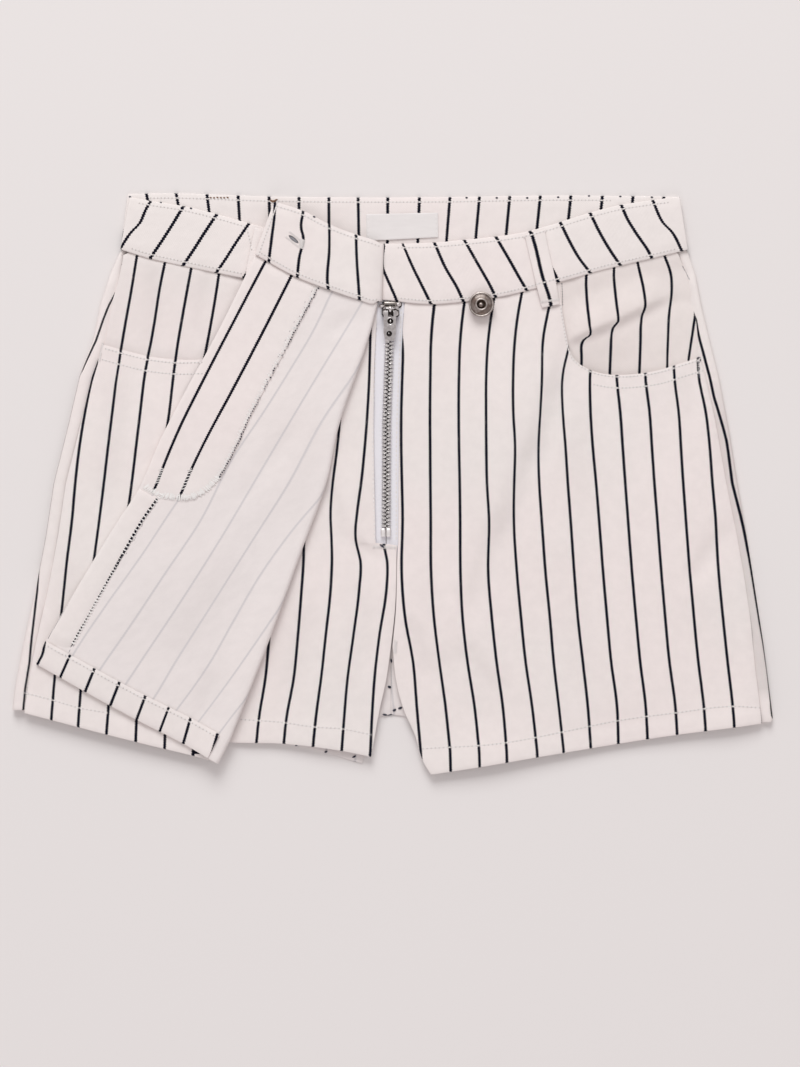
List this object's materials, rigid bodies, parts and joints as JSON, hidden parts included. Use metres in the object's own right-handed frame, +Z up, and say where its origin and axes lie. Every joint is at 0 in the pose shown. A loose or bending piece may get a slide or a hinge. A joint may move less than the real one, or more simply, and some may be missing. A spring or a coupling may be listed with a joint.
{
  "type": "girl's wrap-front skort laid flat",
  "caption": "Pinstriped cotton twill skort lying flat: shorts with an exposed zip and scoop pockets, and a wrap flap folded open over its own waistband.",
  "frame": {"origin": "bottom centre of the bounding box, on the surface it lies on", "axes": "+Z up out of the surface; +Y towards the waist; +X to the viewer's right, looking down at the front"},
  "size_m": [0.4273, 0.3262, 0.0098],
  "materials": {
    "striped_twill": "warm white cotton twill with fine navy woven stripes 16.5 mm apart",
    "zip_tape": "cool white woven polyester tape",
    "label_satin": "bare woven satin label",
    "nickel": "nickel plated",
    "antique_nickel": "antique nickel with a darkened hollow"
  },
  "bodies": {
    "garment": {"back_left": "striped_twill", "back_right": "striped_twill", "waistband_back": "striped_twill", "waistband_right": "striped_twill", "waistband_left": "striped_twill", "pocket_facing_right": "striped_twill", "pocket_facing_left": "striped_twill", "front_right": "striped_twill", "front_left": "striped_twill", "flap": "striped_twill", "flap_hem": "striped_twill", "flap_facing": "striped_twill", "flap_edge": "striped_twill", "belt_loop_right": "striped_twill", "belt_loop_left": "striped_twill", "label": "label_satin", "zip_tape_left": "zip_tape", "zip_tape_right": "zip_tape", "zip_chain": "nickel", "zip_stop": "nickel", "zip_slider": "nickel", "button": "antique_nickel"},
    "zip_pull": {"zip_pull": "nickel"}
  },
  "joints": [
    {"name": "pull_hinge", "type": "hinge", "parent": "garment", "child": "zip_pull", "pos_m": [-0.0017, 0.0964, 0.0065], "axis": [-1, 0, 0], "range_deg": [0, 160]}
  ]
}
